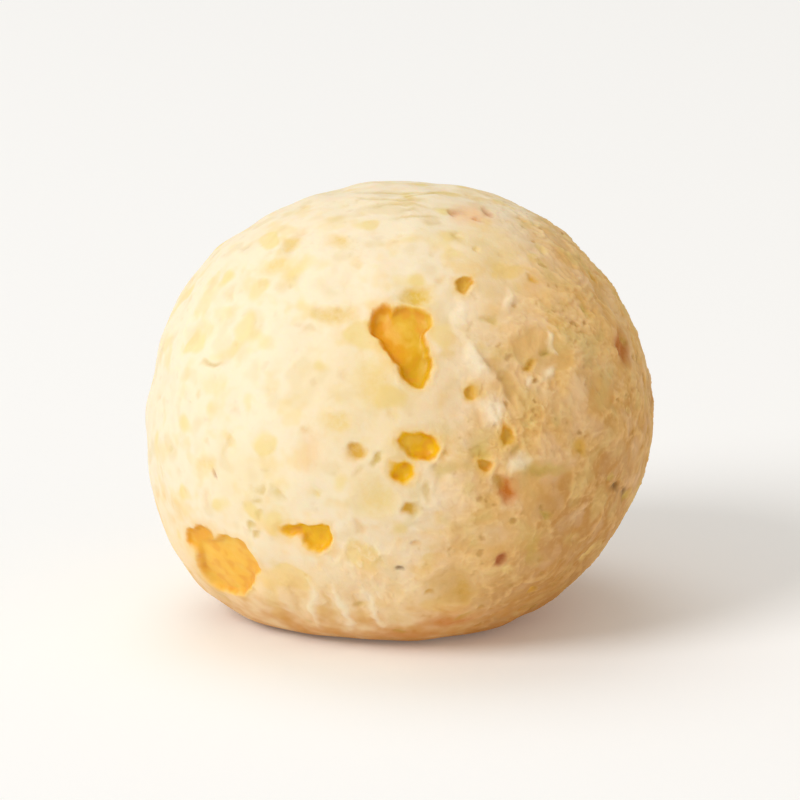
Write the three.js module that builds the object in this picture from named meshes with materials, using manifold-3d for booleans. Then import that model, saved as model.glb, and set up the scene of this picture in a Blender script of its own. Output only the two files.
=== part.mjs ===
// A pao de queijo: a bun of cassava starch and cheese, baked in one piece. It is a round,
// slightly flattened ball on a small flat base, with an uneven crust where bubbles have burst.
//
// Millimetres, +Z up. The origin is on the flat base, below the middle of the ball's width and
// length, and the front faces -Y.

import * as THREE from "three";
import { mergeVertices } from "three/addons/utils/BufferGeometryUtils.js";
import Module from "manifold-3d";

const wasm = await Module();
wasm.setup();

// ---- Driving dimensions --------------------------------------------------------------------

const BALL_WIDTH = 52; // left to right, across the belly, which is the widest level
const BALL_LENGTH = 51; // front to back
const CROWN_HEIGHT = 24; // from the belly up to the top
const BELLY_HEIGHT = 20.8; // from the flat base up to the belly
const UNDERSIDE_DEPTH = 24.2; // from the belly down, if the flat base didn't end the curve
const HEEL_ROUNDING = 0.7; // how softly the underside turns into the flat base
const BASE_TRIM = 0.12; // what is pared off the bottom to leave it truly flat

const LUMP_LENGTH = 30; // from one broad swelling of the dough to the next
const LUMP_RISE = 0.38;
const LUMP_PHASE = 5; // which way round the swellings fall
const WRINKLE_LENGTH = 6.5; // from one shallow wrinkle of the crust to the next
const WRINKLE_RISE = 0.13;
const SLUMP_BEARING = -78; // the dough has slumped out a little low on the left
const SLUMP_LEVEL = -40; // degrees above the belly
const SLUMP_OUT = 1.4;
const SLUMP_FOCUS = 9; // how quickly it dies away to the sides
const BUBBLE_RAGGEDNESS = 0.13; // how far a burst bubble's edge strays, as a share of its size

const CRUST_DETAIL = 16; // subdivisions of the icosahedron that the crust starts from
const BUBBLE_DETAIL = 2;
const SMALL_BUBBLE_DETAIL = 1;
const SMALL_BUBBLE = 2.4; // bubbles narrower than this get the smaller detail
const LEAST_EDGE = 0.04; // shorter edges, which the cutting leaves, are merged

const GOLDEN_ANGLE = Math.PI * (3 - Math.sqrt(5));

// Bubbles that have burst open on the front. Bearing is in degrees round from the front,
// towards +X, and rise in degrees above the belly. Wide, tall and deep are the size of the
// hollow, and turn leans its tall side over to the left, in degrees. Bubbles that overlap
// make one ragged hole.
const FRONT_BUBBLES = [
  // The large torn hole above the middle.
  { bearing: -5.1, rise: 36.2, wide: 2.7, tall: 4.7, deep: 1.2, turn: 11 },
  { bearing: 2.9, rise: 37.4, wide: 4.1, tall: 3.4, deep: 1.0, turn: 0 },
  { bearing: 5.7, rise: 43.8, wide: 2.6, tall: 3.2, deep: 0.4, turn: 0 },
  { bearing: -0.4, rise: 30.8, wide: 2.7, tall: 3.9, deep: 1.2, turn: 31 },
  { bearing: 3.6, rise: 25.8, wide: 3.1, tall: 3.7, deep: 1.4, turn: 16 },
  { bearing: 3.4, rise: 32.0, wide: 3.2, tall: 3.4, deep: 1.2, turn: 0 },
  // The pair below the middle.
  { bearing: 4.8, rise: 8, wide: 3.9, tall: 2.9, deep: 1.3, turn: 0 },
  { bearing: 1.2, rise: 9.9, wide: 2.2, tall: 1.4, deep: 0.9, turn: 0 },
  { bearing: 0.3, rise: 2.5, wide: 2.6, tall: 2.0, deep: 1.0, turn: -28 },
  // The wide hole low on the left.
  { bearing: -20.2, rise: -14.8, wide: 3.3, tall: 3.9, deep: 1.1, turn: -50 },
  { bearing: -25.4, rise: -13.2, wide: 3.4, tall: 1.5, deep: 0.8, turn: 6 },
  // The long shallow blister low on the left, and the one on the right edge.
  { bearing: -44.8, rise: -23.7, wide: 5.2, tall: 5.6, deep: 0.8, turn: 0 },
  { bearing: -51.6, rise: -28.3, wide: 6.4, tall: 6.0, deep: 0.9, turn: 0 },
  { bearing: -55.2, rise: -30.4, wide: 6.0, tall: 5.0, deep: 0.8, turn: 0 },
  { bearing: -51.6, rise: -27.7, wide: 11.6, tall: 5.4, deep: 0.9, turn: 33 },
  { bearing: -55.8, rise: -20.4, wide: 5.6, tall: 2.6, deep: 0.5, turn: 31 },
  { bearing: 67.7, rise: 21.6, wide: 3.2, tall: 4.1, deep: 0.4, turn: -43 },
  // Small ones.
  { bearing: 21.4, rise: 45.8, wide: 2.1, tall: 2.1, deep: 0.6, turn: 0 },
  { bearing: -10.2, rise: 6.1, wide: 2.2, tall: 1.5, deep: 0.4, turn: 26 },
  { bearing: 16.7, rise: 19.8, wide: 1.6, tall: 1.6, deep: 0.6, turn: 0 },
  { bearing: 23.9, rise: 9.2, wide: 1.8, tall: 2.5, deep: 0.7, turn: -10 },
  { bearing: 18.6, rise: 2.7, wide: 1.6, tall: 2.0, deep: 0.6, turn: 7 },
  { bearing: 24.6, rise: -3.4, wide: 1.7, tall: 3.1, deep: 0.4, turn: 17 },
  { bearing: 1.3, rise: -6.2, wide: 1.5, tall: 1.4, deep: 0.4, turn: 0 },
  { bearing: 33.4, rise: 24.2, wide: 1.7, tall: 1.4, deep: 0.4, turn: 0 },
  { bearing: 25.1, rise: -21.5, wide: 1.5, tall: 2.1, deep: 0.4, turn: 26 },
];

// The back and what of the sides lies behind have the same kind of holes, spread by a rule.
const REAR_BUBBLES = 14;
const REAR_REACH = 78; // degrees to either side of the very back, at the belly and below
const REAR_NARROWING = 0.6; // less reach for each degree above the belly
const REAR_LOWEST_RISE = -34;
const REAR_HIGHEST_RISE = 62;
const REAR_LEAST_SIZE = 1.4;
const REAR_MOST_SIZE = 4.8;
const REAR_DEPTH = 0.32; // as a share of the bubble's size
const REAR_PAIRED_SIZE = 2.4; // bubbles wider than this have run into a second one
const PAIR_OFFSET = 1.3; // degrees from one to the other, for each mm of the first one's size

// ---- Form ----------------------------------------------------------------------------------

// An uneven field of about unit height: plane waves of nearly one length, with their
// directions spread by the golden angle.
function undulation(point, length, waves, phase) {
  let sum = 0;
  for (let i = 0; i < waves; i++) {
    const height = 1 - (2 * i + 1) / waves;
    const ring = Math.sqrt(1 - height * height);
    const around = GOLDEN_ANGLE * i + phase;
    const distance =
      ring * (point.x * Math.cos(around) + point.y * Math.sin(around)) + height * point.z;
    const turns = (2 * Math.PI * (1 + 0.3 * Math.sin(1.7 * i + phase))) / length;
    sum += Math.sin(turns * distance + 1.3 * i * i + phase);
  }
  return sum / Math.sqrt(waves);
}

// From the middle of the belly out to the crust, with its lumps and wrinkles but no holes.
function crustRadius(direction) {
  const reach = direction.z > 0 ? CROWN_HEIGHT : UNDERSIDE_DEPTH;
  const smooth =
    1 /
    Math.hypot(
      direction.x / (BALL_WIDTH / 2),
      direction.y / (BALL_LENGTH / 2),
      direction.z / reach,
    );
  const place = direction.clone().multiplyScalar(smooth);
  const slump = towards(SLUMP_BEARING, SLUMP_LEVEL);
  const round =
    smooth +
    SLUMP_OUT * Math.exp(SLUMP_FOCUS * (direction.dot(slump) - 1)) +
    LUMP_RISE * undulation(place, LUMP_LENGTH, 9, LUMP_PHASE) +
    WRINKLE_RISE * undulation(place, WRINKLE_LENGTH, 17, 2.1);
  if (direction.z >= 0) return round;
  // Near the bottom the flat base takes over: a smooth minimum of the two distances.
  const toBase = BELLY_HEIGHT / -direction.z;
  const nearer = Math.min(round, toBase);
  const gap = Math.abs(round - toBase);
  return nearer - HEEL_ROUNDING * Math.log1p(Math.exp(-gap / HEEL_ROUNDING));
}

// Unit direction from the middle of the belly.
function towards(bearing, rise) {
  const around = THREE.MathUtils.degToRad(bearing);
  const up = THREE.MathUtils.degToRad(rise);
  return new THREE.Vector3(
    Math.sin(around) * Math.cos(up),
    -Math.cos(around) * Math.cos(up),
    Math.sin(up),
  );
}

// ---- Solids --------------------------------------------------------------------------------

function solidOf(geometry) {
  const loose = geometry.index ? geometry.toNonIndexed() : geometry;
  const bare = new THREE.BufferGeometry();
  bare.setAttribute("position", loose.getAttribute("position"));
  const merged = mergeVertices(bare, 1e-4);
  return new wasm.Manifold(
    new wasm.Mesh({
      numProp: 3,
      vertProperties: merged.getAttribute("position").array,
      triVerts: new Uint32Array(merged.index.array),
    }),
  );
}

function geometryOf(solid) {
  const mesh = solid.getMesh();
  const geometry = new THREE.BufferGeometry();
  geometry.setAttribute("position", new THREE.BufferAttribute(mesh.vertProperties, mesh.numProp));
  geometry.setIndex(new THREE.BufferAttribute(mesh.triVerts, 1));
  return geometry;
}

// Moves each vertex of a geometry to where place(vertex) says.
function shaped(geometry, place) {
  const unindexed = geometry.index ? geometry.toNonIndexed() : geometry;
  const position = unindexed.getAttribute("position");
  const vertex = new THREE.Vector3();
  for (let i = 0; i < position.count; i++) {
    const moved = place(vertex.fromBufferAttribute(position, i));
    position.setXYZ(i, moved.x, moved.y, moved.z);
  }
  return unindexed;
}

// The whole ball before any bubble has burst, pared flat at the bottom.
function wholeBall() {
  const crust = shaped(new THREE.IcosahedronGeometry(1, CRUST_DETAIL), (vertex) => {
    const direction = vertex.clone().normalize();
    const point = direction.clone().multiplyScalar(crustRadius(direction));
    point.z += BELLY_HEIGHT;
    return point;
  });
  const paring = new THREE.BoxGeometry(BALL_WIDTH, BALL_LENGTH, BALL_WIDTH);
  paring.translate(0, 0, BASE_TRIM - BALL_WIDTH / 2);
  return solidOf(crust).subtract(solidOf(paring));
}

// The hollow of one burst bubble: a ragged ellipsoid with its middle on the crust.
function hollow({ bearing, rise, wide, tall, deep, turn }) {
  const outward = towards(bearing, rise);
  const middle = outward.clone().multiplyScalar(crustRadius(outward));
  middle.z += BELLY_HEIGHT;
  const across = new THREE.Vector3(-outward.y, outward.x, 0).normalize();
  const up = new THREE.Vector3().crossVectors(outward, across);
  const leaning = new THREE.Matrix4().makeBasis(across, up, outward).setPosition(middle);
  leaning.multiply(new THREE.Matrix4().makeRotationZ(THREE.MathUtils.degToRad(turn)));

  const detail = wide < SMALL_BUBBLE ? SMALL_BUBBLE_DETAIL : BUBBLE_DETAIL;
  const bubble = shaped(new THREE.IcosahedronGeometry(1, detail), (vertex) => {
    const ragged = 1 + BUBBLE_RAGGEDNESS * undulation(vertex, 1.6, 7, bearing + rise);
    return vertex
      .clone()
      .multiply(new THREE.Vector3(wide / 2, tall / 2, deep))
      .multiplyScalar(ragged)
      .applyMatrix4(leaning);
  });
  return solidOf(bubble);
}

// Rear hole number i: one bubble, or two that have run together. Its bearing, rise, size and
// lean each step by an irrational share, so that no two are alike and none crowd together.
function rearHole(i) {
  const share = (step) => (step * (i + 0.5)) % 1;
  const size = THREE.MathUtils.lerp(REAR_LEAST_SIZE, REAR_MOST_SIZE, share(0.7549) ** 2);
  const rise = THREE.MathUtils.lerp(
    REAR_LOWEST_RISE,
    REAR_HIGHEST_RISE,
    (i + 0.5) / REAR_BUBBLES,
  );
  const reach = REAR_REACH - REAR_NARROWING * Math.max(rise, 0);
  const bearing = 180 + reach * (2 * share(0.6181) - 1);
  const turn = 180 * share(0.3247);
  const tall = size * (0.6 + 0.7 * share(0.5698));
  const first = { bearing, rise, wide: size, tall, deep: REAR_DEPTH * size, turn };
  if (size <= REAR_PAIRED_SIZE) return [first];
  const way = 2 * Math.PI * share(0.8191);
  const second = {
    bearing:
      bearing + (PAIR_OFFSET * size * Math.cos(way)) / Math.cos(THREE.MathUtils.degToRad(rise)),
    rise: rise + PAIR_OFFSET * size * Math.sin(way),
    wide: 0.8 * size,
    tall: 0.6 * size,
    deep: 0.25 * size,
    turn: turn + 60,
  };
  return [first, second];
}

// ---- The bun -------------------------------------------------------------------------------

function cheeseBall() {
  const rear = Array.from({ length: REAR_BUBBLES }, (_, i) => rearHole(i)).flat();
  const hollows = [...FRONT_BUBBLES, ...rear].map(hollow);
  const burst = wholeBall()
    .subtract(wasm.Manifold.union(hollows))
    .simplify(LEAST_EDGE);
  const geometry = geometryOf(burst);

  // The origin is below the middle of the whole ball, whatever the lumps did to its sides.
  geometry.computeBoundingBox();
  const { min, max } = geometry.boundingBox;
  geometry.translate(-(min.x + max.x) / 2, -(min.y + max.y) / 2, -min.z);
  geometry.computeVertexNormals();

  const crust = new THREE.MeshStandardMaterial({
    color: new THREE.Color().setRGB(0.96, 0.85, 0.62, THREE.SRGBColorSpace),
    roughness: 0.72,
    metalness: 0,
  });
  const mesh = new THREE.Mesh(geometry, crust);
  mesh.name = "cheese_ball";
  return mesh;
}

const bun = new THREE.Group();
bun.add(cheeseBall());

export default bun;
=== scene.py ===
import math

import bpy
import numpy as np
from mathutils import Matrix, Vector, noise


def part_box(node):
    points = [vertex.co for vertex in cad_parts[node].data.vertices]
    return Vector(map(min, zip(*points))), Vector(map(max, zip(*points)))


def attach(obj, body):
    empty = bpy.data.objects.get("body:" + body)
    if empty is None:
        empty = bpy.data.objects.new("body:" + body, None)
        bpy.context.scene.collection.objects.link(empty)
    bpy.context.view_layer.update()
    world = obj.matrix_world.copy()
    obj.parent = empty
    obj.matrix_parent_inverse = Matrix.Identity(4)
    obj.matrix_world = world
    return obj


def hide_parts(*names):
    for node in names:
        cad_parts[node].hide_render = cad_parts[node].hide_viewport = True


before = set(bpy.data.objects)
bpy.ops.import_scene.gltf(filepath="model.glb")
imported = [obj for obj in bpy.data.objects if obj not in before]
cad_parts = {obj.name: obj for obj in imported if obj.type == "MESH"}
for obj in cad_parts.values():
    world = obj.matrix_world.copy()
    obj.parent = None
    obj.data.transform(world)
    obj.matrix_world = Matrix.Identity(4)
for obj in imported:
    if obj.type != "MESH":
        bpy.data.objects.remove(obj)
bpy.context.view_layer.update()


# ---- The ball: its crust ---------------------------------------------------------------------
# One bun of cassava starch and cheese, rolled by hand and baked in one piece on a tray. It is a
# ball on a small flat base. Its skin has dried to a matt cream crust, torn into fine wrinkles,
# and the bubbles that burst in the oven show the yellow, half clear dough beneath.

MM = 0.001
# Lengths of the ball are in mm. Angles are in degrees, seen from the middle of the belly.
BALL_WIDTH = 52.0
BALL_LENGTH = 51.0
CROWN_HEIGHT = 24.0
BELLY_HEIGHT = 20.8
UNDERSIDE_DEPTH = 24.2
HEEL_ROUNDING = 0.7
BASE_TRIM = 0.12

# Broad swellings of the dough, and shallow wrinkles of the crust.
LUMP_LENGTH = 30.0
LUMP_RISE = 0.38
LUMP_PHASE = 5.0
LUMP_WAVES = 9
WRINKLE_LENGTH = 6.5
WRINKLE_RISE = 0.13
WRINKLE_PHASE = 2.1
WRINKLE_WAVES = 17

# Low on the left the soft dough has slumped out a little.
SLUMP_BEARING = -78.0
SLUMP_LEVEL = -40.0
SLUMP_OUT = 1.4
SLUMP_FOCUS = 9.0

GOLDEN_ANGLE = math.pi * (3 - math.sqrt(5))


def undulation(points, length, waves, phase):
    """An uneven field of about unit height, whose swellings are about length apart."""
    total = np.zeros(len(points))
    for i in range(waves):
        height = 1 - (2 * i + 1) / waves
        ring = math.sqrt(1 - height * height)
        around = GOLDEN_ANGLE * i + phase
        way = np.array([ring * math.cos(around), ring * math.sin(around), height])
        turns = 2 * math.pi * (1 + 0.3 * math.sin(1.7 * i + phase)) / length
        total += np.sin(turns * (points @ way) + 1.3 * i * i + phase)
    return total / math.sqrt(waves)


def towards(bearing, rise):
    """The direction of a bearing, round from the front towards +X, and a rise above the belly."""
    around, up = math.radians(bearing), math.radians(rise)
    return np.array([math.sin(around) * math.cos(up), -math.cos(around) * math.cos(up), math.sin(up)])


def crust_radius(ways):
    """From the middle of the belly out to the crust, along each unit direction."""
    halves = np.empty((len(ways), 3))
    halves[:, 0] = BALL_WIDTH / 2
    halves[:, 1] = BALL_LENGTH / 2
    halves[:, 2] = np.where(ways[:, 2] > 0, CROWN_HEIGHT, UNDERSIDE_DEPTH)
    smooth = 1 / np.linalg.norm(ways / halves, axis=1)
    places = ways * smooth[:, None]
    lumpy = smooth + LUMP_RISE * undulation(places, LUMP_LENGTH, LUMP_WAVES, LUMP_PHASE)
    lumpy += WRINKLE_RISE * undulation(places, WRINKLE_LENGTH, WRINKLE_WAVES, WRINKLE_PHASE)
    lumpy += SLUMP_OUT * np.exp(SLUMP_FOCUS * (ways @ towards(SLUMP_BEARING, SLUMP_LEVEL) - 1))
    # Near the bottom the flat base takes over, as a smooth minimum of the two distances.
    to_base = BELLY_HEIGHT / np.maximum(-ways[:, 2], 1e-6)
    gap = np.abs(lumpy - to_base)
    standing = np.minimum(lumpy, to_base) - HEEL_ROUNDING * np.log1p(np.exp(-gap / HEEL_ROUNDING))
    return np.where(ways[:, 2] < 0, standing, lumpy)


def eased(low, high, values):
    """0 below low, 1 above high, and a soft step between."""
    share = np.clip((values - low) / (high - low), 0, 1)
    return share * share * (3 - 2 * share)


def read(pattern, points, size, seed):
    """A pattern of the noise library at each point, in units of size, with its own place in space."""
    offset = np.array([seed * 17.3, seed * 5.1, -seed * 9.7])
    return np.array([pattern(place) for place in (points / size + offset).tolist()])


# Without this the noise library starts from the time of day.
noise.seed_set(28)


def grain(points, size, seed, octaves=2):
    """Soft noise of about -1 to 1, whose grains are about size across."""
    return read(lambda place: noise.fractal(place, 0.7, 2.1, octaves), points, size, seed)


def strayed(points, size, reach, seed):
    """The points, each shifted by up to about reach, so that a pattern read there runs unevenly."""
    return points + reach * read(noise.noise_vector, points, size, seed)


def tears(points, size, seed):
    """How far each point is from the nearest tear, where tears part the skin in islands about
    size across: 0 in a tear, and about 0.5 in the middle of an island."""
    nearest = read(lambda place: noise.voronoi(place)[0][:2], points, size, seed)
    return nearest[:, 1] - nearest[:, 0]


def creases(points, size, seed):
    """Thin raised folds, 0 to about 1, at the places where soft noise crosses its middle."""
    return np.clip(1 - 3.2 * np.abs(grain(points, size, seed, 3)), 0, 1)


FAR_AWAY = 99.0


def spot(points, bearing, rise, wide, tall, lean):
    """How many half-widths each point is from the middle of an oval spot on the crust."""
    outward = towards(bearing, rise)
    middle = outward * crust_radius(outward[None])[0]
    across = np.array([-outward[1], outward[0], 0.0])
    across /= np.linalg.norm(across)
    up = np.cross(outward, across)
    turn = math.radians(lean)
    side = math.cos(turn) * across + math.sin(turn) * up
    along = math.cos(turn) * up - math.sin(turn) * across
    offset = points - middle
    spans = np.hypot(offset @ side / (wide / 2), offset @ along / (tall / 2))
    return np.where(points @ outward > 0, spans, FAR_AWAY)


def tone(red, green, blue):
    """A colour as it looks on screen, 0 to 255, in the linear values that materials take."""
    parts = [part / 255 for part in (red, green, blue)]
    return [part / 12.92 if part <= 0.04045 else ((part + 0.055) / 1.055) ** 2.4 for part in parts]


DOUGH = {
    "yellow": tone(242, 190, 24),
    "butter": tone(232, 184, 52),
    "deep yellow": tone(242, 194, 8),
    "mustard": tone(224, 176, 14),
    "pale yellow": tone(224, 188, 82),
    "orange": tone(234, 162, 12),
    "amber": tone(204, 120, 34),
    "tawny": tone(188, 116, 44),
    "gold": tone(220, 170, 58),
    "yolk": tone(244, 188, 66),
    "olive": tone(206, 176, 88),
    "straw": tone(237, 210, 138),
    "honey": tone(230, 199, 122),
    "peach": tone(244, 202, 156),
    "tan": tone(226, 184, 118),
    "ochre": tone(208, 166, 92),
    "brown": tone(178, 104, 54),
    "dark": tone(120, 84, 34),
    # The pale flake tone is partly dry flakes and partly painted highlight on raised ridges.
    "pale flake and highlight": tone(252, 238, 210),
}

# Each burst bubble: bearing and rise in degrees, wide, tall and deep in mm, lean in degrees, and
# the dough that shows in it.
BURST_BUBBLES = [
    # The large torn hole above the middle.
    (-5.1, 36.2, 2.7, 4.7, 1.2, 11, "orange"),
    (2.9, 37.4, 4.1, 3.4, 1.0, 0, "butter"),
    (-0.4, 30.8, 2.7, 3.9, 1.2, 31, "orange"),
    (3.6, 25.8, 3.1, 3.7, 1.4, 16, "mustard"),
    (3.4, 32.0, 3.2, 3.4, 1.2, 0, "mustard"),
    # The pair below the middle.
    (4.8, 8.0, 3.9, 2.9, 1.3, 0, "deep yellow"),
    (1.2, 9.9, 2.2, 1.4, 0.9, 0, "deep yellow"),
    (0.3, 2.5, 2.6, 2.0, 1.0, -28, "deep yellow"),
    # The wide hole low on the left.
    (-20.2, -14.8, 3.3, 3.9, 1.1, -50, "yellow"),
    (-25.4, -13.2, 3.4, 1.5, 0.8, 6, "yellow"),
    # The long shallow blister low on the left.
    (-44.8, -23.7, 5.2, 5.6, 0.8, 0, "yolk"),
    (-51.6, -28.3, 6.4, 6.0, 0.9, 0, "yolk"),
    (-55.2, -30.4, 6.0, 5.0, 0.8, 0, "yolk"),
    (-51.6, -27.7, 11.6, 5.4, 0.9, 33, "yolk"),
    (-55.8, -20.4, 5.6, 2.6, 0.5, 31, "orange"),
    # Small ones.
    (21.4, 45.8, 2.1, 2.1, 0.6, 0, "gold"),
    (16.7, 19.8, 1.6, 1.6, 0.6, 0, "gold"),
    (23.9, 9.2, 1.8, 2.5, 0.7, -10, "gold"),
    (18.6, 2.7, 1.6, 2.0, 0.6, 7, "gold"),
]
# The back has the same kind of holes, most of them small. Each large one has run into another.
REAR_BUBBLES = 14
for i in range(REAR_BUBBLES):
    size = 1.4 + 3.4 * (0.7549 * (i + 0.5) % 1) ** 2
    rise = -34 + (62 + 34) * (i + 0.5) / REAR_BUBBLES
    bearing = 180 + (78 - 0.6 * max(rise, 0)) * (2 * (0.6181 * (i + 0.5) % 1) - 1)
    tall = size * (0.6 + 0.7 * (0.5698 * (i + 0.5) % 1))
    lean = 180 * (0.3247 * (i + 0.5) % 1)
    kind = ("yellow", "deep yellow", "yellow")[i % 3] if size > 2.2 else "gold"
    BURST_BUBBLES.append((bearing, rise, size, tall, 0.32 * size, lean, kind))
    if size > 2.4:
        way = 2 * math.pi * (0.8191 * (i + 0.5) % 1)
        beside = bearing + 1.3 * size * math.cos(way) / math.cos(math.radians(rise))
        above = rise + 1.3 * size * math.sin(way)
        BURST_BUBBLES.append((beside, above, 0.8 * size, 0.6 * size, 0.25 * size, lean + 60, "orange"))

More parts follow.
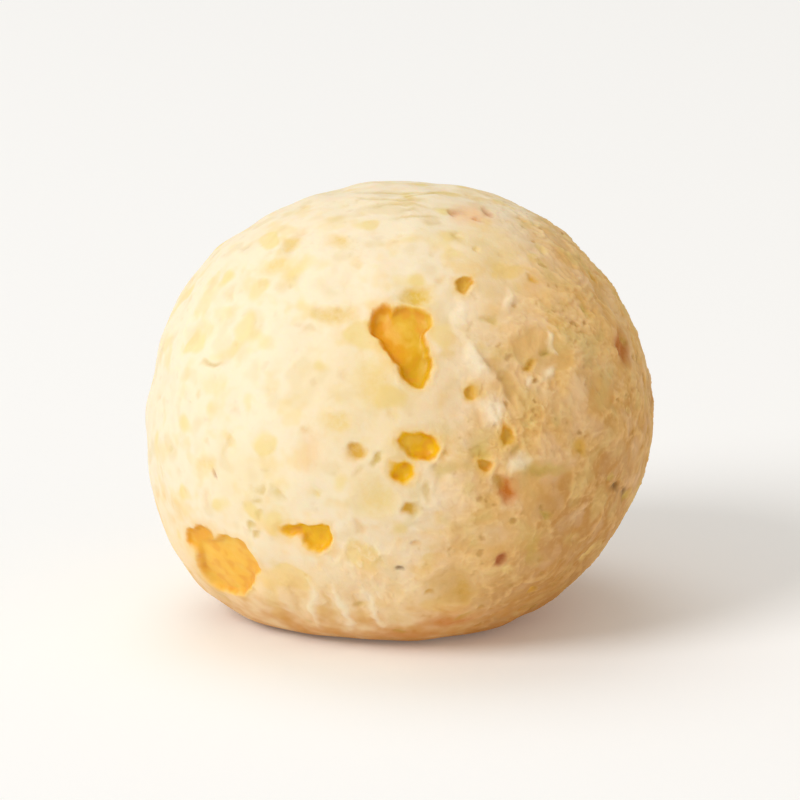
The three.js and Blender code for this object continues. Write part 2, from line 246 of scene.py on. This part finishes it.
# Marks of the skin that didn't burst: bearing and rise, wide, tall, lean, how deep they have sunk,
# how strongly they colour the skin, and their tone.
MARKS = [
    # Small hollows, yellow like the dough or browned.
    (5.7, 43.8, 2.9, 3.6, 0, 0.35, 1.0, "pale yellow"),
    (-10.2, 6.1, 2.3, 1.5, 26, 0.4, 1.0, "gold"),
    (1.3, -6.2, 1.5, 1.3, 0, 0.35, 1.0, "gold"),
    (33.4, 24.2, 1.7, 1.3, 0, 0.4, 1.0, "gold"),
    (24.6, -3.4, 2.0, 3.3, 17, 0.4, 1.0, "amber"),
    (25.1, -21.5, 1.3, 1.8, 26, 0.3, 1.0, "brown"),
    (67.7, 21.6, 3.2, 4.6, -43, 0.4, 1.0, "tawny"),
    (-5.1, 5.3, 1.6, 0.6, 51, 0.2, 0.8, "olive"),
    (18.2, 6.4, 1.7, 1.6, -24, 0.25, 0.8, "olive"),
    (26.5, 5.2, 1.4, 1.5, 27, 0.2, 0.5, "olive"),
    (5.3, -2.6, 1.0, 1.7, -18, 0.1, 0.5, "olive"),
    (58.6, -9.6, 1.0, 2.6, 51, 0.25, 0.8, "dark"),
    (65.9, -12.6, 1.1, 2.4, 35, 0.25, 0.7, "dark"),
    # A pink patch on the crown, with browned specks.
    (56.0, 69.0, 5.8, 3.6, 6, 0.1, 0.8, "peach"),
    (46.6, 71.3, 1.8, 1.5, 41, 0.25, 0.6, "brown"),
    (69.8, 67.3, 2.4, 1.3, 17, 0.25, 0.6, "brown"),
    (54.4, 66.4, 1.6, 1.0, 23, 0.15, 0.5, "brown"),
    # Faint spots on the pale side.
    (29.2, 61.5, 1.2, 3.0, -31, 0.15, 0.6, "olive"),
    (-21.3, 38.3, 4.9, 2.2, -4, 0.25, 0.8, "honey"),
    (-50.8, 55.2, 2.4, 1.5, 0, 0.15, 0.8, "honey"),
    (-6.8, 23.0, 4.5, 5.0, 0, 0.05, 0.6, "straw"),
    (-49.1, 47.6, 4.6, 2.5, 11, 0.15, 0.7, "straw"),
    (-29.5, 59.0, 2.8, 2.0, -23, 0.1, 0.7, "honey"),
    (-61.3, 27.9, 3.9, 2.1, -31, 0.1, 0.5, "straw"),
    (-53.2, 21.1, 3.0, 0.8, 12, 0.2, 0.6, "olive"),
    (-50.3, 16.8, 4.0, 2.1, 7, 0.1, 0.4, "straw"),
    (-49.0, -1.2, 3.0, 1.8, 22, 0.1, 0.6, "straw"),
    (-46.7, -2.9, 0.6, 1.5, 44, 0.2, 0.7, "brown"),
    (-41.5, 5.8, 1.2, 2.8, 57, 0.1, 0.5, "straw"),
    (-67.4, -2.2, 5.2, 2.5, 20, 0.1, 0.4, "straw"),
    (-35.7, -13.4, 0.9, 1.4, -36, 0.15, 0.7, "olive"),
    (-34.4, -15.3, 1.2, 0.8, 45, 0.15, 0.7, "olive"),
    (-33.1, -4.0, 0.8, 1.0, -10, 0.1, 0.5, "olive"),
    (-33.3, -7.0, 0.8, 1.1, -13, 0.1, 0.5, "olive"),
    (-33.7, -10.5, 0.8, 1.0, -16, 0.1, 0.4, "olive"),
    (-28.0, -4.8, 1.3, 0.9, 24, 0.1, 0.4, "olive"),
    (-20.6, 5.4, 3.0, 4.5, 3, 0.1, 0.4, "peach"),
    (-14.3, 13.2, 3.3, 2.0, 4, 0.15, 0.7, "straw"),
    (-18.6, -2.9, 1.3, 1.1, 23, 0.1, 0.6, "straw"),
    (-6.0, -3.8, 4.5, 4.2, 10, 0.1, 0.7, "straw"),
    (10.6, 3.2, 2.9, 1.7, -2, 0.1, 0.5, "olive"),
    (8.7, 0.9, 1.0, 2.1, 1, 0.1, 0.5, "olive"),
    # Spots of the low front and of the toasted side, whose darkness is partly painted shade.
    (-0.6, -22.0, 1.0, 0.7, 1, 0.2, 0.8, "dark"),
    (3.4, -16.1, 0.8, 1.2, 1, 0.15, 0.5, "tan"),
    (13.9, -29.0, 6.0, 5.0, -43, 0.15, 0.6, "ochre"),
    (17.4, -30.6, 1.8, 3.9, 13, 0.1, 0.6, "gold"),
    # Two amber bands low on the front: partly browning, partly painted warm reflected light and shade.
    (16.0, -43.5, 6.0, 3.0, 4, 0.0, 0.65, "amber"),
    (5.0, -50.0, 9.0, 2.0, 0, 0.0, 0.4, "amber"),
    (13.4, -12.5, 2.1, 3.4, 8, 0.1, 0.7, "tan"),
    (33.9, -20.5, 2.0, 4.2, 29, 0.15, 0.5, "olive"),
    (33.8, 0.5, 5.3, 1.5, -8, 0.2, 0.7, "olive"),
    (-9.6, -11.2, 0.8, 1.8, -5, 0.15, 0.5, "tan"),
    (34.0, 29.5, 3.7, 3.0, 46, 0.25, 0.8, "tan"),
    # The groove behind the torn ridge, darker ochre: partly the crust's tone, partly painted shade.
    (25.0, 23.0, 1.4, 7.4, 27, 0.25, 0.7, "ochre"),
    # Broad patches where the skin is a little yellower or paler.
    (-8.0, 17.0, 15.0, 19.0, 0, 0.0, 0.26, "honey"),
    (42.0, 47.0, 15.0, 14.0, 0, 0.0, 0.16, "yolk"),
    (-35.0, -4.0, 12.0, 9.0, 0, 0.0, 0.26, "straw"),
    (-53.0, 27.0, 12.0, 12.0, 0, 0.0, 0.2, "pale flake and highlight"),
    (39.0, 56.0, 8.0, 8.0, 0, 0.0, 0.3, "straw"),
    # Ridges and flakes that stand up from the skin, paler than it: partly real flakes, partly painted
    # highlight.
    (17.7, 38.3, 1.9, 3.8, -24, -0.15, 0.6, "pale flake and highlight"),
    (19.7, 26.9, 2.6, 4.6, 16, -0.2, 0.7, "pale flake and highlight"),
    (21.7, 14.8, 2.0, 3.6, 6, -0.2, 0.7, "pale flake and highlight"),
    (28.0, 2.2, 2.4, 1.8, -9, -0.15, 0.7, "pale flake and highlight"),
    (41.5, 29.5, 1.6, 1.0, 60, -0.15, 0.6, "pale flake and highlight"),
    (40.5, 26.5, 1.0, 1.6, 10, -0.15, 0.5, "pale flake and highlight"),
    (37.5, 21.0, 2.1, 1.0, 24, -0.15, 0.6, "pale flake and highlight"),
    (32.0, 20.5, 1.1, 1.0, 0, -0.1, 0.6, "pale flake and highlight"),
    (34.5, 40.1, 0.9, 3.4, -29, -0.2, 0.5, "pale flake and highlight"),
    # Level wrinkles on the crown.
    (0.0, 77.0, 7.0, 0.8, 0, 0.10, 0.45, "olive"),
    (-26.0, 80.0, 6.4, 0.8, 3, 0.10, 0.4, "olive"),
    (40.0, 83.0, 8.0, 0.8, -4, 0.10, 0.45, "olive"),
    (10.0, 71.0, 5.0, 0.6, 5, 0.08, 0.4, "olive"),
    (-4.0, 87.0, 9.0, 0.8, 2, 0.10, 0.45, "olive"),
    (14.0, 79.5, 2.6, 1.3, 0, 0.08, 0.5, "olive"),
    (6.0, 74.5, 2.4, 0.9, 8, 0.08, 0.5, "olive"),
    # Pleats that fan out towards the base, pale on their folds and tan in between: partly the crust's
    # tone, partly painted highlight and painted shade.
    (-38.0, -35.0, 1.5, 6.0, -20, 0.08, 0.4, "honey"),
    (-31.0, -36.0, 1.2, 7.5, -16, 0.10, 0.5, "tan"),
    (-26.5, -37.0, 1.0, 8.0, -12, -0.11, 0.6, "pale flake and highlight"),
    (-22.0, -37.5, 1.2, 7.5, -7, 0.10, 0.6, "tan"),
    (-17.5, -37.5, 0.9, 8.5, -1, -0.11, 0.7, "pale flake and highlight"),
    (-13.0, -37.5, 1.3, 7.0, 5, 0.10, 0.5, "tan"),
    (-8.5, -37.0, 0.9, 7.5, 10, -0.09, 0.6, "pale flake and highlight"),
]

# Pinpricks all over the skin, which are fainter where it stayed whole.
PINPRICKS = 150
for i in range(PINPRICKS):
    size = 0.8 + 0.7 * ((0.7549 * (i + 0.5)) % 1)
    bearing = math.degrees(GOLDEN_ANGLE) * i % 360
    rise = math.degrees(math.asin(-0.75 + 1.7 * (i + 0.5) / PINPRICKS))
    openness = 0.35 + 0.65 * eased(-20, 30, (bearing + 180) % 360 - 180 - 0.4 * rise)
    MARKS.append((
        bearing,
        rise,
        size,
        size * (0.7 + 1.1 * ((0.5698 * (i + 0.5)) % 1)),
        180 * ((0.3247 * (i + 0.5)) % 1),
        0.22 * openness,
        0.75 * openness,
        ("olive", "gold", "tan", "olive", "straw")[i % 5],
    ))

# Blisters that rose and fell back without bursting, each a flat disc in a thin ring: bearing and
# rise, wide, tall, lean. The far sides have the same kind, spread by a rule.
BLISTERS = [
    (13.9, -29.0, 6.2, 5.0, -43),
    (38.0, 26.5, 6.4, 6.0, 0),
    (34.0, -4.0, 7.0, 6.6, 0),
    (52.0, 14.0, 5.0, 4.6, 20),
    (24.0, 52.0, 4.2, 3.4, 10),
    (44.0, 44.0, 5.2, 4.0, -20),
    (50.0, -16.0, 5.4, 4.4, 30),
    (36.0, -34.0, 4.4, 3.6, 0),
    (2.0, -34.0, 4.8, 3.4, 0),
    (14.0, 30.0, 3.4, 4.4, 10),
    (10.6, 3.2, 3.6, 2.6, 0),
    (-6.0, -3.8, 4.6, 4.2, 10),
    (-21.3, 38.3, 5.2, 2.6, -4),
    (-34.0, 12.0, 5.0, 4.0, 0),
]
REAR_BLISTERS = 26
for i in range(REAR_BLISTERS):
    size = 3.0 + 3.0 * ((0.7549 * (i + 0.5)) % 1)
    BLISTERS.append((
        72 + 220 * ((0.6181 * (i + 0.5)) % 1),
        -40 + 120 * (i + 0.5) / REAR_BLISTERS,
        size,
        size * (0.7 + 0.3 * ((0.5698 * (i + 0.5)) % 1)),
        180 * ((0.3247 * (i + 0.5)) % 1),
    ))


def uneven(points):
    """The points, shifted a little, so that outlines read there run like torn skin."""
    return strayed(strayed(points, 2.6, 0.6, 1), 0.9, 0.28, 12)


def bubble_edge(points):
    """How far inside the nearest burst bubble each point is, in mm; bubbles close by run together."""
    blend = 0.3
    furthest = -9.0
    total = np.full(len(points), math.exp(furthest / blend))
    for bearing, rise, wide, tall, deep, lean, kind in BURST_BUBBLES:
        inward = (1 - spot(points, bearing, rise, wide, tall, lean)) * min(wide, tall) / 2
        total += np.exp(np.maximum(inward, furthest) / blend)
    return blend * np.log(total)


# The skin starts as a fine ball, finer still along the edges of the burst bubbles, and each of
# its points is moved out to the crust.
SKIN_DETAIL = 8
RIM_REACH = 0.45

bpy.ops.object.select_all(action="DESELECT")
bpy.ops.mesh.primitive_ico_sphere_add(subdivisions=SKIN_DETAIL, radius=1, location=(0, 0, 0))
crust = bpy.context.object
crust.name = "crust"
mesh = crust.data


def directions():
    """The unit direction of each point of the ball."""
    ways = np.empty(len(mesh.vertices) * 3)
    mesh.vertices.foreach_get("co", ways)
    ways = ways.reshape(-1, 3)
    return ways / np.linalg.norm(ways, axis=1)[:, None]


ways = directions()
edge = bubble_edge(uneven(ways * crust_radius(ways)[:, None]))
bpy.ops.object.mode_set(mode="EDIT")
bpy.ops.mesh.select_all(action="DESELECT")
bpy.ops.object.mode_set(mode="OBJECT")
mesh.vertices.foreach_set("select", np.abs(edge + 0.05) < RIM_REACH)
bpy.ops.object.mode_set(mode="EDIT")
bpy.ops.mesh.select_mode(type="VERT")
bpy.ops.mesh.subdivide(number_cuts=1)
bpy.ops.object.mode_set(mode="OBJECT")
ways = directions()
skin = ways * crust_radius(ways)[:, None]
count = len(skin)

# Where the skin is finely torn and toasted, and where it stayed whole: it is whole on the left.
# The toast grows to the right and downwards, away from the key lamp: partly real toasting and partly
# painted shade.
torn = eased(-3, 13, skin[:, 0] - 0.35 * skin[:, 2] + 5 * grain(skin, 14, 4, 1))
low_down = np.maximum(-skin[:, 2], 0)
browner_and_shadier = skin[:, 0] * (1 + 0.02 * low_down) - 0.40 * np.maximum(skin[:, 2], -1)
toast_and_shade = 0.82 * eased(-15, 24, browner_and_shadier + 4 * grain(skin, 12, 6, 2))
toast_and_shade += 0.18 * eased(3.5, 7.5, browner_and_shadier + 1.8 * grain(skin, 3.0, 23, 2))
darkest_toast_and_shade = eased(7, 28, skin[:, 0] - 0.7 * skin[:, 2] + 3 * grain(skin, 10, 22, 2))
darkest_toast_and_shade *= 1 - 0.45 * eased(17, 26, skin[:, 0])

# The burst bubbles: how deep they are, and the dough that shows in them.
LIP_RISE = 0.10
LIP_WIDTH = 0.22
NO_WEIGHT = 1e-9

strewn = uneven(skin)
edge = bubble_edge(strewn)
floor_depth = np.zeros(count)
dough = np.zeros((count, 3))
nearness = np.full(count, NO_WEIGHT)
merged = np.full(count, NO_WEIGHT)
for bearing, rise, wide, tall, deep, lean, kind in BURST_BUBBLES:
    spans = spot(strewn, bearing, rise, wide, tall, lean)
    near = spans < 3.5
    weight = np.exp(-1.4 * spans[near] ** 2)
    dough[near] += weight[:, None] * DOUGH[kind]
    floor_depth[near] += weight * deep
    nearness[near] += weight
    merged[near] += np.exp((1 - spans[near]) * min(wide, tall) / 2)
dough /= nearness[:, None]
floor_depth /= nearness
depth = floor_depth * (1 - np.exp(-np.maximum(np.log(merged), 0) / 0.6)) * eased(-0.05, 0.4, edge)
lip = np.exp(-(((edge + 0.3) / LIP_WIDTH) ** 2)) * eased(-0.1, 0.5, grain(skin, 3.0, 13, 1))
height = -depth * (1 + 0.15 * grain(skin, 2.4, 9, 2)) + LIP_RISE * lip

# The marks: their tone, their strength and how far they have sunk.
mark = np.zeros((count, 4))
sunk = np.zeros(count)
blurred = strayed(strewn, 1.5, 0.5, 17)
for bearing, rise, wide, tall, lean, deep, strength, kind in MARKS:
    spans = spot(blurred, bearing, rise, wide, tall, lean)
    near = spans < 2
    cover = strength * (1 - eased(0.2, 1.5, spans[near]))
    share = cover / np.maximum(mark[near, 3] + cover, NO_WEIGHT)
    mark[near, :3] += (np.array(DOUGH[kind]) - mark[near, :3]) * share[:, None]
    mark[near, 3] = 1 - (1 - mark[near, 3]) * (1 - cover)
    sunk[near] += deep * (1 - eased(0.2, 1.2, spans[near]))

# The fine relief of the dried skin: blisters, wrinkles, folds and pores. Rises and depths are in
# mm on skin that stayed whole, and those of the torn skin come on top.
SWELL_RISE = 0.05
TORN_SWELL_RISE = 0.06
GRAIN_RISE = 0.01
TORN_GRAIN_RISE = 0.04
RING_RISE = 0.10
DISC_DEPTH = 0.04
FOLD_RISE = 0.015
TORN_FOLD_RISE = 0.11
FINE_FOLD_RISE = 0.01
TORN_FINE_FOLD_RISE = 0.10
PLEAT_RISE = 0.12
TEAR_DEPTH = 0.05
PORE_DEPTH = 0.02
TORN_PORE_DEPTH = 0.10

blistered = np.zeros(count)
flattened = np.zeros(count)
for bearing, rise, wide, tall, lean in BLISTERS:
    far_in = (1 - spot(strewn, bearing, rise, wide, tall, lean)) * min(wide, tall) / 2
    blistered = np.maximum(blistered, np.exp(-((far_in / 0.25) ** 2)))
    flattened = np.maximum(flattened, eased(0.0, 0.5, far_in))
blistered *= eased(-0.4, 0.3, grain(skin, 3.0, 15, 1)) * (0.35 + 0.65 * torn)
flattened *= 0.35 + 0.65 * torn
flow = strayed(skin, 5.0, 2.4, 2)
fine_flow = strayed(flow, 1.5, 0.7, 5)
islands = tears(fine_flow, 2.4, 1)
upright = creases(flow * (1, 1, 0.5), 3.4, 3)
level = creases(flow * (0.5, 0.5, 1.3), 2.6, 16) * eased(8, 18, skin[:, 0])
gathered = eased(1.3, 0.5, spot(strewn, -8.0, -27.0, 13.0, 11.0, 0))
pleats = creases(strayed(skin, 4.0, 0.8, 18) * (1, 1, 0.16), 1.7, 19) * gathered
fine_folds = creases(fine_flow, 1.5, 6)
pores = eased(0.55, 0.85, grain(skin, 1.3, 8, 2))
swells = grain(skin, 3.0, 7, 2)
calm = 1 - 0.6 * flattened
folds = np.maximum(upright, level)
torn_fold_rise = TORN_FOLD_RISE - 0.05 * darkest_toast_and_shade
torn_fine_fold_rise = TORN_FINE_FOLD_RISE - 0.06 * darkest_toast_and_shade
relief = (SWELL_RISE + TORN_SWELL_RISE * torn) * swells
relief += (GRAIN_RISE + TORN_GRAIN_RISE * torn) * grain(fine_flow, 0.9, 21, 2)
relief += RING_RISE * blistered - DISC_DEPTH * flattened
relief += (FOLD_RISE + torn_fold_rise * torn) * folds ** 1.5 * calm
relief += (FINE_FOLD_RISE + torn_fine_fold_rise * torn) * fine_folds ** 1.5 * calm
relief += PLEAT_RISE * pleats
relief -= TEAR_DEPTH * torn * (1 - eased(0.0, 0.4, islands)) * calm
relief -= (PORE_DEPTH + TORN_PORE_DEPTH * torn) * pores
outside = eased(0.0, 0.35, -edge)
base_fade = eased(0.4, 3.0, skin[:, 2] + BELLY_HEIGHT)
height += (relief - sunk) * outside * base_fade

points = skin + ways * height[:, None]
points[:, 2] += BELLY_HEIGHT
low, high = (np.array(corner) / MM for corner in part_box("cheese_ball"))
points[:, :2] += ((low + high) / 2 - (points.min(0) + points.max(0)) / 2)[:2]
points[:, 2] = np.maximum(points[:, 2] - BASE_TRIM, 0)
mesh.vertices.foreach_set("co", (points * MM).ravel())
mesh.update()


def keep(name, values):
    """Stores a value or a colour at each point of the skin, for the crust's material to read."""
    if values.ndim == 1:
        layer, field = mesh.attributes.new(name, "FLOAT", "POINT"), "value"
    else:
        layer, field = mesh.attributes.new(name, "FLOAT_COLOR", "POINT"), "color"
        if values.shape[1] == 3:
            values = np.hstack([values, np.ones((count, 1))])
    layer.data.foreach_set(field, values.astype(np.float32).ravel())


keep("burst", np.clip(edge, -1, 2))
keep("dough", dough)
keep("mark", mark)
keep("relief", relief / PLEAT_RISE)
keep("torn", torn)
keep("toast_and_shade", toast_and_shade)
keep("darkest toast and shade", darkest_toast_and_shade)
keep("pores", pores * (0.2 + 0.8 * torn))

# The smooth parts of the skin give up triangles, and the rims and the strong marks keep theirs.
MOST_TRIANGLES = 196000

rims = crust.vertex_groups.new(name="rims")
fine_part = (np.abs(edge) < RIM_REACH) | (mark[:, 3] > 0.5)
rims.add(np.flatnonzero(fine_part).tolist(), 1.0, "REPLACE")
thinned = crust.modifiers.new("thinned", "DECIMATE")
thinned.vertex_group = rims.name
thinned.invert_vertex_group = True
thinned.ratio = MOST_TRIANGLES / len(mesh.polygons)
bpy.ops.object.modifier_apply(modifier=thinned.name)
bpy.ops.object.shade_smooth()


class Amount:
    """A socket of a material's node, on which plain sums add the Math nodes they need."""

    def __init__(self, recipe, socket):
        self.recipe, self.socket = recipe, socket

    def sum(self, operation, *values):
        return self.recipe.node("ShaderNodeMath", dict(enumerate(values)), operation=operation)

    def __add__(self, other):
        return self.sum("ADD", self, other)

    def __sub__(self, other):
        return self.sum("SUBTRACT", self, other)

    def __rsub__(self, other):
        return self.sum("SUBTRACT", other, self)

    def __mul__(self, other):
        return self.sum("MULTIPLY", self, other)

    __radd__, __rmul__ = __add__, __mul__


class Recipe:
    """A material in the making: node() adds any node to it and returns its output."""

    def __init__(self, name):
        self.material = bpy.data.materials.new(name)
        self.material.use_nodes = True
        self.tree = self.material.node_tree
        self.tree.nodes.clear()

    def node(self, kind, values=None, output=0, **settings):
        made = self.tree.nodes.new(kind)
        for setting, value in settings.items():
            setattr(made, setting, value)
        for place, value in (values or {}).items():
            if isinstance(value, Amount):
                self.tree.links.new(value.socket, made.inputs[place])
            else:
                made.inputs[place].default_value = value
        return Amount(self, made.outputs[output]) if made.outputs else None

    def kept(self, name, output="Fac"):
        """What keep() stored under this name."""
        return self.node("ShaderNodeAttribute", output=output, attribute_name=name)

    def step(self, low, high, value):
        """0 below low, 1 above high, and a soft step between."""
        values = {"Value": value, "From Min": low, "From Max": high}
        return self.node("ShaderNodeMapRange", values, interpolation_type="SMOOTHSTEP")

    def blend(self, share, first, second):
        """The first colour, with this share of the second laid over it."""
        values = {0: share, 6: first, 7: second}
        return self.node("ShaderNodeMix", values, output=2, data_type="RGBA")


baked = Recipe("baked crust")
place = baked.node("ShaderNodeTexCoord", output="Object")
above_floor = baked.node("ShaderNodeSeparateXYZ", {0: place}, output="Z")


def opaque(colour):
    """The colour as a material's socket takes it."""
    return (*colour, 1.0)


def mottle(size, detail):
    """Soft noise of 0 to 1 in the crust, whose grains are about size mm across."""
    values = {"Vector": place, "Scale": 1 / (size * MM), "Detail": detail, "Roughness": 0.6}
    return baked.node("ShaderNodeTexNoise", values, output="Fac")


raised = baked.kept("relief")
torn_here = baked.kept("torn")
toast_and_shade_here = baked.kept("toast_and_shade")
darkest_toast_and_shade_here = baked.kept("darkest toast and shade")
fine = mottle(0.6, 3.0)
soft = mottle(3.4, 2.0)
patchy = mottle(1.6, 3.0)

# The skin that stayed whole is cream, with thin places where the yellow dough shines through.
# It is paler where it stands up, partly real flakes and partly painted highlight, and darker and
# yellower where it sinks, partly thin skin and partly painted shade.
CREAM = opaque(tone(243, 229, 200))
THIN_SKIN = opaque(tone(240, 214, 150))
STRAW_SKIN = opaque(tone(238, 217, 152))
PALE_FLAKE_AND_HIGHLIGHT = opaque(tone(250, 234, 202))
RECESS_SHADE = opaque(tone(232, 200, 134))

whole = baked.blend(baked.step(0.5, 0.7, soft) * 0.5, CREAM, THIN_SKIN)
whole = baked.blend(baked.step(0.6, 0.71, mottle(3.6, 0.5)) * 0.85, whole, STRAW_SKIN)
whole = baked.blend(baked.step(0.2, 1.4, raised + (fine - 0.5) * 1.2), whole, PALE_FLAKE_AND_HIGHLIGHT)
whole = baked.blend(baked.step(0.0, 1.6, (fine - 0.5) * 1.2 - raised) * 0.8, whole, RECESS_SHADE)

# The skin that dried and tore is toasted, lighter on its ridges and darker in its folds: partly
# painted highlight on the ridges, and painted shade in the folds.
# The toasted colours darken towards the right and downwards: partly real toasting, and partly painted
# shade on the side away from the key lamp.
TOASTED_AND_SHADED = opaque(tone(224, 175, 99))
DEEPEST_TOAST_AND_SHADE = opaque(tone(190, 136, 67))
TOASTED_RIDGE_AND_HIGHLIGHT = opaque(tone(240, 199, 132))
TOASTED_RECESS_SHADE = opaque(tone(210, 163, 90))

deep_toast_and_shade = baked.step(0.2, 0.8, darkest_toast_and_shade_here + (soft - 0.5) * 0.6)
toasted_skin_and_shade = baked.blend(deep_toast_and_shade, TOASTED_AND_SHADED, DEEPEST_TOAST_AND_SHADE)
ridges_and_highlight = baked.step(-0.4, 1.6, raised + (fine - 0.5) * 1.4 + (patchy - 0.5) * 1.4)
toasted_skin_and_shade = baked.blend(ridges_and_highlight * (0.9 - darkest_toast_and_shade_here * 0.5), toasted_skin_and_shade, TOASTED_RIDGE_AND_HIGHLIGHT)
toasted_skin_and_shade = baked.blend(baked.step(0.0, 1.6, (fine - 0.5) * 1.4 - raised) * 0.9, toasted_skin_and_shade, TOASTED_RECESS_SHADE)
colour = baked.blend(baked.step(0.0, 1.0, toast_and_shade_here + (soft - 0.5) * 0.5), whole, toasted_skin_and_shade)

# Grey, olive and pink tinges, faint on the whole skin and on the darkest toast, which is partly
# painted shade.
GREY_TINGE = opaque(tone(222, 192, 150))
OLIVE_TINGE = opaque(tone(214, 188, 118))
PINK_TINGE = opaque(tone(244, 214, 180))
PORE = opaque(tone(184, 138, 66))

evener = 1 - darkest_toast_and_shade_here * 0.55
greyer = baked.step(0.48, 0.66, mottle(4.4, 0.5)) * torn_here * evener * 0.3
colour = baked.blend(greyer, colour, GREY_TINGE)
tinges = mottle(2.8, 0.7)
greener = baked.step(0.52, 0.70, tinges) * (0.25 + torn_here * 0.25) * evener
colour = baked.blend(greener, colour, OLIVE_TINGE)
pinker = baked.step(0.54, 0.72, 1 - tinges) * (0.24 + torn_here * 0.1) * evener
colour = baked.blend(pinker, colour, PINK_TINGE)
colour = baked.blend(baked.kept("pores") * 0.6, colour, PORE)

# Towards the tray the crust turns apricot and then golden brown: partly browning from the tray, and
# partly painted warm reflected light and painted shade low on the ball.
APRICOT_AND_WARM_BOUNCE = opaque(tone(248, 204, 134))
APRICOT_AND_BOUNCE_BELOW = 18 * MM
GOLDEN_BASE_AND_SHADE = opaque(tone(210, 144, 60))
GOLDEN_AND_SHADE_BELOW = 6.5 * MM

# The apricot band is partly painted warm reflected light, and the golden band partly painted shade.
warm_bounce_band = baked.step(0.0, 1.0, (APRICOT_AND_BOUNCE_BELOW - above_floor) * 85 + (soft - 0.5) * 1.2)
colour = baked.blend(warm_bounce_band * (0.5 - darkest_toast_and_shade_here * 0.5), colour, APRICOT_AND_WARM_BOUNCE)
browned_and_shaded = baked.step(0.0, 1.0, (GOLDEN_AND_SHADE_BELOW - above_floor) * 140 + (soft - 0.5) * 1.6)
colour = baked.blend(browned_and_shaded * 0.85, colour, GOLDEN_BASE_AND_SHADE)

marked_share = baked.kept("mark", "Alpha")
colour = baked.blend(marked_share * (0.55 + fine * 0.9), colour, baked.kept("mark", "Color"))

# The dough in the burst bubbles is streaked, and its yellow shines through the skin beside it.
# A darker ring on the walls of the bubbles is painted shade.
AMBER_STREAK = opaque(tone(232, 154, 40))
PALE_STREAK = opaque(tone(244, 206, 92))
SHINING_THROUGH = opaque(tone(238, 194, 104))
WALL_SHADE = opaque(tone(190, 122, 20))

inside = baked.kept("burst") + (fine - 0.5) * 0.3
burst = baked.step(-0.16, 0.26, inside)
streaks = mottle(1.7, 1.0)
open_dough = baked.kept("dough", "Color")
open_dough = baked.blend(baked.step(0.5, 0.66, streaks) * 0.5, open_dough, AMBER_STREAK)
open_dough = baked.blend(baked.step(0.52, 0.68, 1 - streaks) * 0.35, open_dough, PALE_STREAK)
# Painted shade: a darker ring down the walls of the bubbles.
wall_shade = baked.step(-0.05, 0.2, inside) - baked.step(0.2, 0.9, inside)
open_dough = baked.blend(wall_shade * 0.12, open_dough, WALL_SHADE)
colour = baked.blend(baked.step(-0.8, 0.1, inside) * 0.42, colour, SHINING_THROUGH)
colour = baked.blend(burst, colour, open_dough)

grainy = {"Height": fine, "Distance": 0.1 * MM, "Strength": 0.4}
surface = baked.node("ShaderNodeBsdfPrincipled", {
    "Base Color": colour,
    "Roughness": 0.74 - burst * 0.3,
    "Normal": baked.node("ShaderNodeBump", grainy, output="Normal"),
    "Specular IOR Level": 0.3,
    "Subsurface Weight": 0.35,
    "Subsurface Radius": (1.0, 0.62, 0.28),
    "Subsurface Scale": 1.6 * MM,
})
baked.node("ShaderNodeOutputMaterial", {"Surface": surface})
mesh.materials.append(baked.material)

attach(crust, "root")
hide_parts("cheese_ball")


# ---- The floor, the light and the camera -----------------------------------------------------
# A plain white floor and a pale studio all round. A large soft lamp on the left lights the ball,
# with a weaker one overhead and a weak warm one on the right. It is seen from a little above.

FLOOR_SIZE = 6.0
STUDIO_TONE = (1, 0.96, 0.88, 1)
STUDIO_STRENGTH = 0.5

bpy.ops.object.select_all(action="DESELECT")
bpy.ops.mesh.primitive_plane_add(size=FLOOR_SIZE, location=(0, 0, 0))
floor = bpy.context.object
floor.name = "floor"
white = Recipe("floor white")
paper = white.node("ShaderNodeBsdfPrincipled", {
    "Base Color": (0.89, 0.905, 0.93, 1),
    "Roughness": 0.9,
    "Specular IOR Level": 0.1,
    "Emission Color": (1, 1, 1, 1),
    "Emission Strength": 0.08,
})
white.node("ShaderNodeOutputMaterial", {"Surface": paper})
floor.data.materials.append(white.material)

world = bpy.data.worlds.new("studio")
world.use_nodes = True
backdrop = world.node_tree.nodes["Background"]
backdrop.inputs["Color"].default_value = STUDIO_TONE
backdrop.inputs["Strength"].default_value = STUDIO_STRENGTH
bpy.context.scene.world = world

aim = np.array((0, 0, (low[2] + high[2]) / 2)) * MM


def aimed(thing, stand):
    """Puts a lamp or a camera at its stand and turns it to the middle of the ball."""
    thing.location = stand
    thing.rotation_euler = (Vector(aim) - Vector(stand)).to_track_quat("-Z", "Y").to_euler()
    bpy.context.scene.collection.objects.link(thing)


def lamp(name, stand, size, power, colour):
    light = bpy.data.lights.new(name, "AREA")
    light.shape = "DISK"
    light.size = size
    light.energy = power
    light.color = colour
    aimed(bpy.data.objects.new(name, light), stand)


lamp("key", (-1.30, -0.96, 1.25), size=1.0, power=22.0, colour=(1.0, 0.985, 0.96))
lamp("overhead", (-0.3, 0.5, 1.5), size=1.2, power=5.0, colour=(1.0, 0.99, 0.97))
lamp("warm fill", (1.2, -0.7, 0.5), size=1.0, power=2.0, colour=(1.0, 0.66, 0.34))

SENSOR = 36.0
CAMERA_RANGE = 0.6
CAMERA_ELEVATION = math.radians(15)
SHARE_OF_FRAME = 0.63

camera = bpy.data.cameras.new("camera")
camera.sensor_width = SENSOR
camera.lens = SENSOR * CAMERA_RANGE * SHARE_OF_FRAME / (BALL_WIDTH * MM)
eye = bpy.data.objects.new("camera", camera)
back = CAMERA_RANGE * math.cos(CAMERA_ELEVATION)
aimed(eye, (0, -back, aim[2] + CAMERA_RANGE * math.sin(CAMERA_ELEVATION)))
bpy.context.scene.camera = eye
bpy.context.scene.view_settings.view_transform = "Standard"
